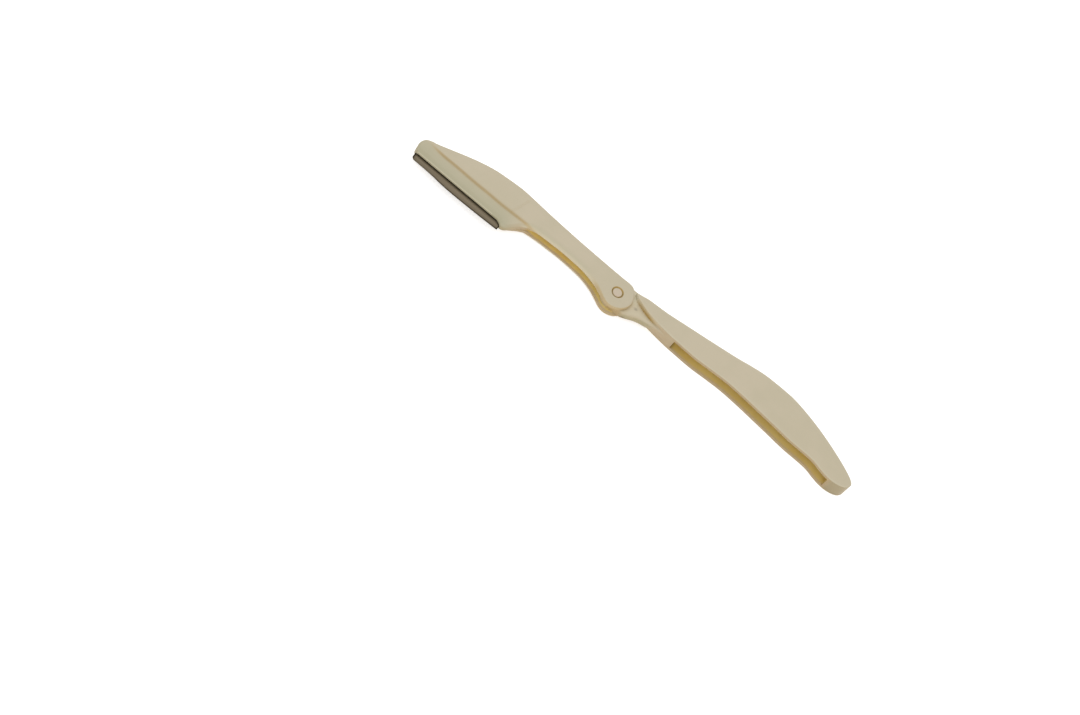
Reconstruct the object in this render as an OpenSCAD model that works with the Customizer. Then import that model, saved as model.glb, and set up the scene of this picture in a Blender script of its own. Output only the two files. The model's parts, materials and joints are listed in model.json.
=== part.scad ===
// Folding eyebrow razor, open, lying on the flat side of its handle.
// X runs from the tip of the head to the tail of the handle, Y from the blade side to the spine side and
// Z up through the thickness. The pieces are drawn about the pivot axis, with their middle plane at zero,
// and moved as one to the centre of the outer box.

/* [Handle] */
// Distance from the pivot axis to the tail end
tail_reach = 87.8; // [78:0.1:110]
// Highest point of the spine above the pivot axis
spine_rise = 10.3; // [9.6:0.1:13]
// Lowest point of the tail below the pivot axis
tail_drop = 4.5; // [3.5:0.1:6]
// Thickness across the two flat faces
handle_t = 5.8; // [5.6:0.1:7]
// Rounding of the handle's long edges
handle_round = 0.6; // [0.3:0.05:0.7]

/* [Slot in the handle] */
// Distance from the pivot axis to the slot's near end
slot_start = 21.8; // [20:0.1:28]
// Solid length left at the tail behind the slot
tail_solid = 6.5; // [4:0.1:9]
// Wall left between the slot and the spine
spine_wall = 2.4; // [1.5:0.1:3]
// Free space on each side of the blade holder inside the slot
slot_side_gap = 0.6; // [0.3:0.05:0.8]

/* [Arm] */
// Distance from the pivot axis to the tip of the head
head_reach = 72.1; // [66:0.1:76]
// Highest point of the head's back above the pivot axis
head_rise = 7.35; // [7:0.05:9]
// Lowest point of the heel below the pivot axis
heel_drop = 6.75; // [6:0.05:7.2]
// Thickness of the arm at its hub, neck and head plate
arm_t = 5.2; // [4.8:0.05:5.5]
// Rounding of the arm's edges
arm_round = 0.6; // [0.3:0.05:0.7]
// Wall along the back of the hollow neck
neck_wall = 1.5; // [1.2:0.1:1.7]
// Distance from the pivot axis to the far end of the hollow neck
neck_hollow = 31.5; // [28:0.1:32]

/* [Blade holder] */
// Thickness of the strip that holds the blade
strip_t = 2.8; // [2.4:0.1:3.2]
// Length of the heel, from the end of the straight lip to the neck
heel_l = 11.2; // [9:0.1:13]
// Thickness left at the strip's lip, where the blade comes out
lip_t = 2.2; // [1.4:0.1:2.3]
// Height over which the strip thins toward its lip
lip_taper = 3.2; // [2:0.1:3.6]
// How far the strip runs on inside the plate above it
strip_bury = 1.2; // [0.8:0.1:1.6]

/* [Blade] */
// Length of the blade
blade_l = 31.9; // [28:0.1:33]
// Height of the blade that stands out of the lip
blade_show = 2.25; // [1.6:0.05:2.6]
// Height of the blade held inside the strip
blade_tang = 2.6; // [2.2:0.1:3]
// Thickness of the steel
blade_t = 0.3; // [0.2:0.05:0.5]
// Height of the ground bevel along the cutting edge
bevel_h = 0.55; // [0.3:0.05:0.9]
// Width of the land left at the cutting edge
edge_land = 0.04; // [0.02:0.01:0.08]
// Slope of the cutting edge against the handle's axis
blade_slope = 1.3; // [0.5:0.1:2]
// Chamfer on the blade's free corner at the tip
blade_chamfer = 0.7; // [0.4:0.1:1.2]
// Radius of the posts through the tang
post_r = 0.8; // [0.5:0.1:0.9]
// Clearance round each post
post_gap = 0.02; // [0.01:0.01:0.05]
// Distance of the blade's end from the lip's corner at the tip
blade_inset = 0.1; // [0.05:0.05:0.3]
// How far the blade runs on past the straight lip, into the heel
blade_past_lip = 3.4; // [2.5:0.1:4.5]

/* [Hinge] */
// Radius of the round hub
hub_r = 5.35; // [5.1:0.05:5.8]
// Radius of the pivot pin
pin_r = 1.5; // [1.2:0.05:1.8]
// Radial running clearance between the pin and the two cheeks
pin_fit = 0.05; // [0.02:0.01:0.1]
// Radial clearance of the pin in the tongue that holds it
pin_seat = 0.01; // [0.01:0.01:0.03]
// Depth of the pin's ends below the faces of the hub
pin_sink = 0.1; // [0.05:0.05:0.3]
// Chamfer on the pin's ends
pin_chamfer = 0.15; // [0.05:0.05:0.3]
// Width of the chamfer at the mouth of each pin hole
mouth_chamfer = 0.3; // [0.1:0.05:0.5]
// Thickness of the tongue between the cheeks
tongue_t = 2.8; // [2.4:0.1:3]
// Free space on each side of the tongue
tongue_gap = 0.1; // [0.05:0.05:0.2]
// Wall of the hub's back, outside the tongue's round end
hub_wall = 1.1; // [0.8:0.1:1.5]
// Clearance round the tongue's end and at its stop
stop_gap = 0.15; // [0.1:0.05:0.3]
// How far the tongue's shoulder stands out past the hub
stop_rise = 0.65; // [0.3:0.05:0.8]
// Width of tongue seen between the hub and the handle's faces
shoulder_gap = 1.25; // [0.6:0.05:1.6]
// Gap left between the folded neck and the handle's lower line
fold_gap = 0.3; // [0.2:0.05:0.5]
// Angle that the arm turns through from open to folded
fold_angle = 175.5; // [172:0.1:176]

/* [Hidden] */
$fn = 96;
// How far a cut runs past the face that it opens
overrun = 1;
cheek_gap = tongue_t + 2 * tongue_gap;
slot_w = strip_t + 2 * slot_side_gap;
slot_end = tail_reach - tail_solid;
tongue_r = hub_r - hub_wall - stop_gap;
// Direction of the stop, where the hub's back meets the tongue's shoulder
stop_angle = 64;
// Where the neck's lower and upper lines leave the hub's circle, and the step of its points
hub_low_angle = -125;
hub_high_angle = 95;
hub_step = 5;
// Where the round shoulder of the handle's faces starts and ends
shoulder_low_angle = 31;
shoulder_high_angle = 38;
shoulder_step = 7;
// How far below the pivot axis the tongue's lower line starts, inside its round end of radius tongue_r
tongue_start_share = 0.97;
// Height of the tongue's upper line above the pivot axis, where it enters the handle
tongue_top = 5.3;
// How far along the hollow its upper wall follows the back
hollow_back_share = 0.9;
// Points made between two outline points, and across a rounded edge
curve_steps = 3;
round_steps = 3;

// Outline points, hand-chosen. X is a share of tail_reach or head_reach, and Y a share of the rise or
// drop named in the line that uses them.
spine_shares = [
    [0.075, 0.465], [0.10, 0.50], [0.17, 0.53], [0.24, 0.605], [0.34, 0.72], [0.44, 0.84], [0.51, 0.935],
    [0.56, 0.985], [0.61, 1], [0.68, 0.96], [0.75, 0.84], [0.82, 0.67], [0.89, 0.46], [0.955, 0.225],
    [0.99, 0.04]
];
tail_shares = [
    [1, 0.31], [0.985, 0.71], [0.955, 0.97], [0.92, 1], [0.885, 0.87], [0.855, 0.715], [0.82, 0.645],
    [0.75, 0.60], [0.68, 0.465], [0.61, 0.35], [0.54, 0.245], [0.47, 0.165], [0.41, 0.18]
];
back_shares = [
    [0.08, 0.745], [0.17, 0.78], [0.25, 0.81], [0.33, 0.85], [0.42, 0.907], [0.48, 0.955], [0.54, 1],
    [0.58, 0.995], [0.64, 0.955], [0.70, 0.88], [0.76, 0.735], [0.82, 0.555], [0.88, 0.345], [0.92, 0.2],
    [0.945, 0.09]
];
crease_shares = [
    [0.95, 0], [0.942, 0.045], [0.89, 0.085], [0.81, 0.10], [0.73, 0.135], [0.65, 0.145], [0.59, 0.165],
    [0.53, 0.155], [0.465, 0.14]
];
neck_shares = [
    [0.42, 0.155], [0.375, 0.13], [0.33, 0.118], [0.29, 0.105], [0.25, 0.115], [0.21, 0.14], [0.165, 0.185],
    [0.125, 0.28], [0.083, 0.43]
];
hub_neck_share = [0.061, 0.533];
tip_shares = [
    [0.90, -0.21], [0.955, -0.075], [0.98, 0.045], [0.995, 0.2], [1, 0.36], [0.9975, 0.55], [0.99, 0.67]
];
lip_tip_share = 0.985;
lip_drop_share = 0.815;
// The heel's outline: X is a share of heel_l, from the end of the lip toward the hub, and Y of heel_drop
heel_shares = [
    [0.175, 0.865], [0.285, 0.955], [0.37, 1], [0.465, 0.94], [0.58, 0.765], [0.74, 0.53], [0.87, 0.37],
    [1, 0.2]
];
// The hollow's end wall: X is a share of neck_hollow and Y of heel_drop
hollow_end_shares = [[1.08, 0.6], [1.02, 0.1], [0.975, -0.3], [0.94, -0.5]];
// The tongue's lower line: X is a share of slot_start and Y of tongue_r
tongue_shares = [
    [0.185, 0.9], [0.28, 0.72], [0.415, 0.415], [0.55, 0.23], [0.70, 0.17], [0.865, 0.135], [0.94, -0.3]
];
// Places of the posts along the blade, as shares of its length
post_shares = [0.2, 0.8];

// A point on the smooth curve from b to c; a comes before it and d after
function between(a, b, c, d, u) =
    b + (u * (c - a) + u * u * (2 * a - 5 * b + 4 * c - d) + u * u * u * (3 * b - a - 3 * c + d)) / 2;
// A smooth line through all the points of an open line
function smooth(points) = let (n = len(points) - 1) [
    for (i = [0:n - 1], j = [0:curve_steps - 1])
        between(points[max(i - 1, 0)], points[i], points[i + 1], points[min(i + 2, n)], j / curve_steps),
    points[n]
];
// A smooth line round all the points of a closed line
function smooth_loop(points) = let (n = len(points)) [
    for (i = [0:n - 1], j = [0:curve_steps - 1])
        between(points[(i + n - 1) % n], points[i], points[(i + 1) % n], points[(i + 2) % n], j / curve_steps)
];
// A line moved by d to its left
function moved_left(points, d, closed = true) = let (n = len(points)) [
    for (i = [0:n - 1])
        let (
            before = points[closed ? (i + n - 1) % n : max(i - 1, 0)],
            after = points[closed ? (i + 1) % n : min(i + 1, n - 1)],
            way = after - before
        )
            points[i] + d * [-way.y, way.x] / norm(way)
];
// A line from its end to its start
function reversed(points) = [for (i = [len(points) - 1:-1:0]) points[i]];
// Points on a circle about the pivot axis
function arc(r, first, last, step) = [for (a = [first:step:last]) r * [cos(a), sin(a)]];
// A point turned about the pivot axis
function turned(p, angle) = [p.x * cos(angle) - p.y * sin(angle), p.x * sin(angle) + p.y * cos(angle)];
// Points on the handle's side and on the head's side of the pivot
function tailward(shares, size) = [for (s = shares) [s.x * tail_reach, s.y * size]];
function headward(shares, size) = [for (s = shares) [-s.x * head_reach, s.y * size]];

spine = tailward(spine_shares, spine_rise);
back = headward(back_shares, head_rise);
crease = headward(crease_shares, -heel_drop);
neck = headward(neck_shares, -heel_drop);
lip_way = [cos(blade_slope), -sin(blade_slope)];
lip_l = blade_inset + blade_l - blade_past_lip;
lip_heel = [lip_l * lip_way.x - lip_tip_share * head_reach, -lip_drop_share * heel_drop];
lip_tip = lip_heel - lip_l * lip_way;
blade_end = blade_inset - lip_l;
// Lowest point of the razor: the heel end of the cutting edge
blade_reach = -lip_heel.y + blade_show * cos(blade_slope) + (blade_l + blade_end) * sin(blade_slope);

stop_way = [cos(stop_angle), sin(stop_angle)];

// The handle's lower line near the hub follows the folded neck, a gap away
neck_room = [for (p = neck) turned(p, fold_angle) + [0, fold_gap]];
handle_outline = reversed(smooth_loop(concat(
    spine,
    tailward(tail_shares, -tail_drop),
    neck_room,
    arc(hub_r + shoulder_gap, shoulder_low_angle, shoulder_high_angle, shoulder_step)
)));

hub_arc = arc(hub_r, hub_low_angle, hub_high_angle, hub_step);
arm_side = smooth(concat(
    [hub_arc[len(hub_arc) - 1]], back, crease, neck, headward([hub_neck_share], -heel_drop), [hub_arc[0]]
));
arm_outline = concat([for (i = [1:len(hub_arc) - 2]) hub_arc[i]], arm_side);
strip_outline = concat(
    smooth(headward(tip_shares, -heel_drop)),
    [lip_tip, lip_heel],
    smooth([for (s = heel_shares) lip_heel + [s.x * heel_l, -s.y * heel_drop - lip_heel.y]]),
    reversed([for (i = [2:len(crease) - 1]) crease[i] + [0, strip_bury]])
);

// A closed plate of the outline, centred on the middle plane, with its long edges rounded by r
module rounded_plate(outline, t, r) {
    n = len(outline);
    lower = [
        for (k = [0:round_steps])
            let (a = 90 * k / round_steps) [r * (1 - sin(a)), r * (1 - cos(a)) - t / 2]
    ];
    levels = concat(lower, [for (k = reversed(lower)) [k.x, -k.y]]);
    points = [for (level = levels, p = moved_left(outline, level.x)) [p.x, p.y, level.y]];
    sides = [
        for (k = [0:len(levels) - 2], i = [0:n - 1])
            let (a = k * n + i, b = k * n + (i + 1) % n)
                each [[a, a + n, b + n], [a, b + n, b]]
    ];
    top = [for (i = [n - 1:-1:0]) (len(levels) - 1) * n + i];
    polyhedron(points, concat([[for (i = [0:n - 1]) i]], sides, [top]), convexity = 6);
}
// The same plate with square edges
module flat_plate(outline, t) linear_extrude(t, center = true) polygon(outline);
// On one face and mirrored on the other
module both_faces() {
    children();
    mirror([0, 0, 1]) children();
}
// From the pivot axis to the centre of the outer box, resting on its lowest plane
module in_box_frame()
    translate([(head_reach - tail_reach) / 2, (blade_reach - spine_rise) / 2, handle_t / 2]) children();
// The blade's own frame: its heel at the lip, X along the lip toward the hub
module along_lip() translate(lip_heel) rotate(-blade_slope) children();

// The long slot that the folded blade lies in, open along the handle's lower line
module blade_slot()
    linear_extrude(slot_w, center = true) intersection() {
        polygon(concat(
            moved_left(smooth(spine), -spine_wall, false),
            [[tail_reach, -tail_drop - overrun], [spine[0].x, -tail_drop - overrun]]
        ));
        translate([slot_start, -tail_drop - overrun])
            square([slot_end - slot_start, tail_drop + spine_rise + overrun]);
    }

// The tongue reaches between the hub's cheeks; its shoulder stops the open arm
module tongue() {
    stop_foot = stop_gap * [stop_way.y, -stop_way.x];
    cylinder(h = tongue_t, r = tongue_r, center = true);
    flat_plate(concat(
        [stop_foot, [0, -tongue_start_share * tongue_r]],
        [for (s = tongue_shares) [s.x * slot_start, -s.y * tongue_r]],
        [spine[2] - [0, spine_wall / 2], [spine[1].x, tongue_top]],
        [stop_foot + (hub_r + stop_rise) * stop_way]
    ), tongue_t);
}

// A round hole through the arm's cheeks, wider at both mouths
module pin_hole(r, mouth) {
    cylinder(h = arm_t + 2 * overrun, r = r, center = true);
    both_faces() translate([0, 0, arm_t / 2 - mouth])
        cylinder(h = mouth + overrun, r1 = r, r2 = r + mouth + overrun);
}

// The moulded handle, with the pin's seat in its tongue
module handle() color([0.93, 0.89, 0.78]) in_box_frame() difference() {
    union() {
        difference() {
            rounded_plate(handle_outline, handle_t, handle_round);
            blade_slot();
        }
        tongue();
    }
    cylinder(h = handle_t, r = pin_r + pin_seat, center = true);
}

// The hollow of the hub and neck, open below, that takes the tongue of the folded handle
module neck_channel() {
    inner_back = [
        for (p = moved_left(smooth(back), neck_wall, false)) if (p.x > -neck_hollow * hollow_back_share) p
    ];
    end = [for (s = hollow_end_shares) [-s.x * neck_hollow, -s.y * heel_drop]];
    wall_step = (hub_high_angle - stop_angle) / curve_steps;
    outside = hub_r + overrun;
    below = -heel_drop - overrun;
    flat_plate(concat(
        end,
        reversed(inner_back),
        reversed(arc(tongue_r + stop_gap, stop_angle, hub_high_angle, wall_step)),
        [outside * stop_way, [outside, hub_r], [outside, below], [end[0].x, below]]
    ), cheek_gap);
}

// Thins the strip toward its lip on both faces
module lip_bevels() along_lip() both_faces()
    translate([-lip_l - overrun, 0, 0]) rotate([90, 0, 90])
        linear_extrude(lip_l + overrun) polygon([
            [lip_taper, strip_t / 2], [0, lip_t / 2], [-overrun, lip_t / 2], [-overrun, strip_t]
        ]);

// The slit that holds the blade, crossed by the posts
module blade_slit() along_lip() difference() {
    translate([blade_end, -blade_show, -blade_t / 2]) cube([blade_l, blade_show + blade_tang, blade_t]);
    posts(post_r);
}
// The posts through the tang
module posts(r) for (s = post_shares)
    translate([blade_end + s * blade_l, blade_tang / 2, 0]) cylinder(h = strip_t, r = r, center = true);

// The moulded arm, with the slit for the blade and the pin's running holes
module blade_arm() color([0.93, 0.89, 0.78]) in_box_frame() difference() {
    union() {
        rounded_plate(arm_outline, arm_t, arm_round);
        difference() {
            flat_plate(strip_outline, strip_t);
            lip_bevels();
        }
    }
    neck_channel();
    blade_slit();
    pin_hole(pin_r + pin_fit, mouth_chamfer);
}

// A thin steel strip with a ground edge, one free corner cut off and two holes for the posts
module blade() color([0.62, 0.61, 0.58]) in_box_frame() along_lip() difference() {
    intersection() {
        translate([blade_end, 0, 0]) rotate([90, 0, 90]) linear_extrude(blade_l) polygon([
            [-blade_show, -edge_land / 2], [-blade_show, edge_land / 2],
            [bevel_h - blade_show, blade_t / 2], [blade_tang, blade_t / 2],
            [blade_tang, -blade_t / 2], [bevel_h - blade_show, -blade_t / 2]
        ]);
        flat_plate([
            [blade_end, blade_chamfer - blade_show], [blade_end + blade_chamfer, -blade_show],
            [blade_end + blade_l, -blade_show], [blade_end + blade_l, blade_tang], [blade_end, blade_tang]
        ], blade_t);
    }
    posts(post_r + post_gap);
}

// Pressed into the tongue, with both ends free to turn in the cheeks
module pivot_pin() color([0.90, 0.86, 0.75]) in_box_frame() {
    half = arm_t / 2 - pin_sink;
    rotate_extrude() polygon([
        [0, -half], [pin_r - pin_chamfer, -half], [pin_r, pin_chamfer - half],
        [pin_r, half - pin_chamfer], [pin_r - pin_chamfer, half], [0, half]
    ]);
}

handle();
blade_arm();
blade();
pivot_pin();
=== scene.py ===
import json
import math

import bmesh
import bpy
import numpy as np
from mathutils import Matrix, Vector


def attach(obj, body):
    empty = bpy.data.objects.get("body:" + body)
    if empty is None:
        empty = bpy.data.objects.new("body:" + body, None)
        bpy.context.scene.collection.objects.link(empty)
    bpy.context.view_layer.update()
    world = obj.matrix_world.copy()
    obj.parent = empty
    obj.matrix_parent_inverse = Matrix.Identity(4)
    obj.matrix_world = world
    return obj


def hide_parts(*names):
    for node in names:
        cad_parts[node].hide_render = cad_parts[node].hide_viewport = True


# Folding eyebrow razor, open, lying on its flat side. Shapes are worked out in millimetres about the
# pivot axis, with the razor's middle plane at zero, and take their place in the frame as they are made.
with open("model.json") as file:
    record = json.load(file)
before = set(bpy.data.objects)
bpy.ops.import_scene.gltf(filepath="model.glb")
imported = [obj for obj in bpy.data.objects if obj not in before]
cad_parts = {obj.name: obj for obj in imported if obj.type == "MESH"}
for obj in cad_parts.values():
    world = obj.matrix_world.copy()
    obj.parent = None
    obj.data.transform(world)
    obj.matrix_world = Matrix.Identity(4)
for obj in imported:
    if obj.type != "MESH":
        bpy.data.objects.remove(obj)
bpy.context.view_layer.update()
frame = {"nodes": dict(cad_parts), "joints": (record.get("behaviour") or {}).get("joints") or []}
mm = 0.001
pivot = np.array(frame["joints"][0]["pos_m"])
print("frame loaded:", sorted(frame["nodes"]))


# A smooth open line: a cubic between each pair of given points, shaped by their neighbours
def smoothLine(points, steps=16):
    p = np.array(points, float)
    last = len(p) - 1
    a, b, c, d = p[[0, *range(last - 1)]], p[:-1], p[1:], p[[*range(2, last + 1), last]]
    u = (np.arange(steps) / steps)[None, :, None]
    a, b, c, d = (q[:, None, :] for q in (a, b, c, d))
    line = b + (u * (c - a) + u**2 * (2 * a - 5 * b + 4 * c - d) + u**3 * (3 * b - a - 3 * c + d)) / 2
    return np.vstack([line.reshape(-1, 2), p[-1:]])


# The same through the points of a closed line
def smoothLoop(points, steps=16):
    p = np.array(points, float)
    return smoothLine(np.vstack([p[-1:], p, p[:2]]), steps)[steps:-steps - 1]


# Points on a circle about the pivot axis, from one angle in degrees to another
def arcPoints(radius, first, last, count):
    angle = np.radians(np.linspace(first, last, count))
    return radius * np.stack([np.cos(angle), np.sin(angle)], 1)


# A line moved to its left, or to its right where the distance is negative
def movedLeft(line, distance):
    way = np.gradient(line, axis=0)
    return line + distance * np.column_stack([-way[:, 1], way[:, 0]]) / np.linalg.norm(way, axis=1)[:, None]


# Rises from 0 to 1 with level ends
def ease(x):
    x = np.clip(x, 0, 1)
    return x * x * (3 - 2 * x)


# The same over a stretch: 0 up to its start and 1 from its end on, whichever way it runs
def rise(x, start, end):
    return ease((x - start) / (end - start))


# A hump of height 1 about zero
def hump(x, width):
    return np.exp(-(x / width)**2)


# Height of a line at any x, and its ends' heights beyond them
def heightOf(line, x):
    order = np.argsort(line[:, 0], kind="stable")
    return np.interp(x, line[order, 0], line[order, 1])


# A closed line cut at its two ends in x, as its lower and its upper line
def splitLoop(loop):
    left, right = np.argmin(loop[:, 0]), np.argmax(loop[:, 0])
    turned = np.roll(loop, -left, axis=0)
    cut = (right - left) % len(loop)
    sides = [turned[:cut + 1], np.vstack([turned[cut:], turned[:1]])]
    return sorted(sides, key=lambda side: side[:, 1].mean())


# How far each point lies from a line: the least distance to its stretches
def distanceTo(x, y, line, closed=True):
    start = line if closed else line[:-1]
    way = (np.roll(line, -1, axis=0) if closed else line[1:]) - start
    length = np.maximum((way**2).sum(1), 1e-12)
    p = np.stack([x.ravel(), y.ravel()], 1)
    nearest = np.empty(len(p))
    batch = 3000
    for first in range(0, len(p), batch):
        q = p[first:first + batch, None, :] - start
        t = np.clip((q * way).sum(2) / length, 0, 1)
        nearest[first:first + batch] = np.linalg.norm(q - t[..., None] * way, axis=2).min(1)
    return nearest.reshape(x.shape)


# Places along a stretch, crowded toward both ends by a cosine, with some extra ones put among them
def stations(first, last, count, crowd=0.75, extra=(), apart=0.004):
    u = np.linspace(0, 1, count)
    u = (1 - crowd) * u + crowd * (1 - np.cos(np.pi * u)) / 2
    x = np.union1d(first + (last - first) * u, extra)
    keep = np.concatenate([np.diff(x) > apart, [True]])
    return x[keep | (x == first)]


# Rows across a piece: fine over its two rounded edges, and spread over the zones between its rails. The
# roundings shrink where the piece is narrow, and its rails stay in order, a share of the width apart.
def rowsAcross(low, high, rails, counts, edge, edgeRows=9, apart=0.03, edgeShare=0.4):
    room = np.minimum(1, edgeShare * (high - low) / edge)[:, None]
    rounding = edge * (1 - np.cos(np.linspace(0, np.pi / 2, edgeRows))) * room
    stops = [low + rounding[:, -1], *rails, high - rounding[:, -1]]
    least = apart * (stops[-1] - stops[0])
    for k in range(1, len(stops) - 1):
        stops[k] = np.clip(stops[k], stops[k - 1] + least, stops[-1] - (len(stops) - 1 - k) * least)
    rows = [low[:, None] + rounding]
    for k, count in enumerate(counts):
        share = np.linspace(0, 1, count + 2)[1:count + 1 + (k < len(counts) - 1)]
        rows.append(stops[k][:, None] * (1 - share) + stops[k + 1][:, None] * share)
    rows.append(high[:, None] - rounding[:, ::-1])
    return np.hstack(rows)


# How far an edge falls below its face at a distance from the outline: a quarter of an ellipse
def edgeDrop(distance, reach, fall=None):
    inside = np.clip(1 - distance / reach, 0, 1)
    return (reach if fall is None else fall) * (1 - np.sqrt(1 - inside**2))


# Quads between the neighbouring points of a grid whose rows follow each other
def gridFaces(rows, columns, first=0, flip=False):
    i = first + (np.arange(rows - 1)[:, None] * columns + np.arange(columns - 1)[None, :]).ravel()
    quads = np.stack([i, i + columns, i + columns + 1, i + 1], 1)
    return (quads[:, ::-1] if flip else quads).tolist()


# A closed shell: a grid at its height above the middle plane, its mirror below, and a wall between
def fieldShell(x, y, z):
    rows, columns = x.shape
    count = rows * columns
    top = np.stack([x, y, z], 2).reshape(-1, 3)
    faces = gridFaces(rows, columns) + gridFaces(rows, columns, count, flip=True)
    index = np.arange(count).reshape(rows, columns)
    rim = np.concatenate([index[:-1, 0], index[-1, :-1], index[:0:-1, -1], index[0, :0:-1]])
    after = np.roll(rim, -1)
    faces += np.stack([rim, after, after + count, rim + count], 1).tolist()
    return np.vstack([top, top * [1, 1, -1]]), faces


# A closed plate of one outline between two heights
def prism(outline, low, high):
    n = len(outline)
    i = np.arange(n)
    j = np.roll(i, -1)
    points = np.vstack([np.column_stack([outline, np.full(n, height)]) for height in (low, high)])
    return points, np.stack([i, j, j + n, i + n], 1).tolist() + [i[::-1].tolist(), (i + n).tolist()]


# A solid of revolution about the pivot axis, from the radii and heights of its profile
def lathe(radii, heights, turns=128):
    angle = np.linspace(0, 2 * np.pi, turns, endpoint=False)
    r, z = np.asarray(radii, float)[:, None], np.asarray(heights, float)[:, None]
    points = np.stack([r * np.cos(angle), r * np.sin(angle), z + 0 * angle], 2).reshape(-1, 3)
    start = np.arange(len(radii) - 1)[:, None] * turns
    j = np.arange(turns)[None, :]
    k = np.roll(j, -1)
    walls = np.stack([start + j, start + k, start + turns + k, start + turns + j], 2).reshape(-1, 4).tolist()
    top = (len(radii) - 1) * turns + np.arange(turns)
    return points, walls + [np.arange(turns)[::-1].tolist(), top.tolist()]


# The space of a slot or hollow: rows at set depths above its open mouth, then spread up to its roof. At its
# start it is narrower by a share of its width, which is made up over the length called taper.
def cavity(starts, stop, mouthLine, roofLine, half, narrow=0.0, taper=1.0, columns=110, lowShare=0.6):
    depths = np.array([-1.0, 0.2, 0.45, 0.7, 1.0, 1.4, 2.0, 2.0, 2.0])
    spread = np.array([0.0] * 7 + [0.5, 1.0])
    starts = np.interp(np.linspace(0, 1, len(depths)), np.linspace(0, 1, len(starts)), starts)
    x = starts + (stop - starts) * np.linspace(0, 1, columns)[:, None]
    mouth, roof = heightOf(mouthLine, x), heightOf(roofLine, x)
    low = mouth + np.minimum(depths, lowShare * (roof - mouth))
    width = half * (1 - narrow * (1 - ease((x - starts[0]) / taper)))
    return fieldShell(x, low + (roof - low) * spread, width)


# A mesh in its place in the frame, from points in millimetres about the pivot
def makeMesh(name, shape, material):
    points, faces = shape
    mesh = bpy.data.meshes.new(name)
    mesh.from_pydata((np.asarray(points) * mm + pivot).tolist(), [], faces)
    mesh.materials.append(material)
    work = bmesh.new()
    work.from_mesh(mesh)
    bmesh.ops.remove_doubles(work, verts=work.verts, dist=1e-7)
    bmesh.ops.dissolve_degenerate(work, edges=work.edges, dist=1e-8)
    bmesh.ops.recalc_face_normals(work, faces=work.faces)
    work.to_mesh(mesh)
    work.free()
    piece = bpy.data.objects.new(name, mesh)
    bpy.context.scene.collection.objects.link(piece)
    return piece


# Cuts closed meshes out of a piece, or joins them to it; a cut face takes the cutter's material
def combine(piece, others, operation="DIFFERENCE"):
    for other in others:
        step = piece.modifiers.new(operation.lower(), "BOOLEAN")
        step.operation, step.solver, step.object, step.material_mode = operation, "EXACT", other, "TRANSFER"
        graph = bpy.context.evaluated_depsgraph_get()
        mesh = bpy.data.meshes.new_from_object(piece.evaluated_get(graph))
        piece.modifiers.clear()
        piece.data = mesh
        bpy.data.objects.remove(other)


# Smooth shading that stays crisp along true corners
def shadeSmooth(piece, corner=32):
    piece.data.shade_smooth()
    piece.data.set_sharp_from_angle(angle=math.radians(corner))


# How far the surface at each point of a piece faces down along the frame's second axis, from 0 to 1
def facingLow(piece):
    flat = np.empty(len(piece.data.vertices) * 3)
    piece.data.vertices.foreach_get("normal", flat)
    return np.clip(-flat.reshape(-1, 3)[:, 1], 0, 1)


# The points of a piece, in millimetres about the pivot: along, across and above the middle plane
def pointsOf(piece):
    flat = np.empty(len(piece.data.vertices) * 3)
    piece.data.vertices.foreach_get("co", flat)
    return ((flat.reshape(-1, 3) - pivot) / mm).T


# A number at each point of a piece, for its material
def setValues(piece, **layers):
    for name, values in layers.items():
        layer = piece.data.attributes.new(name, "FLOAT", "POINT")
        layer.data.foreach_set("value", np.clip(values, 0, 1).astype(np.float32))


# One value in a material, so that shader maths reads as plain expressions
class Wire:
    def __init__(self, look, socket):
        self.look, self.socket = look, socket

    def maths(self, operation, *values):
        return self.look.node("ShaderNodeMath", {"operation": operation}, *values)

    def __add__(self, other):
        return self.maths("ADD", self, other)

    def __sub__(self, other):
        return self.maths("SUBTRACT", self, other)

    def __rsub__(self, other):
        return self.maths("SUBTRACT", other, self)

    def __mul__(self, other):
        return self.maths("MULTIPLY", self, other)

    __radd__, __rmul__ = __add__, __mul__

    # 0 below one level, 1 above another, with level ends
    def between(self, low, high):
        settings = {"interpolation_type": "SMOOTHSTEP"}
        return self.look.node("ShaderNodeMapRange", settings, self, low, high, 0.0, 1.0)


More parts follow.
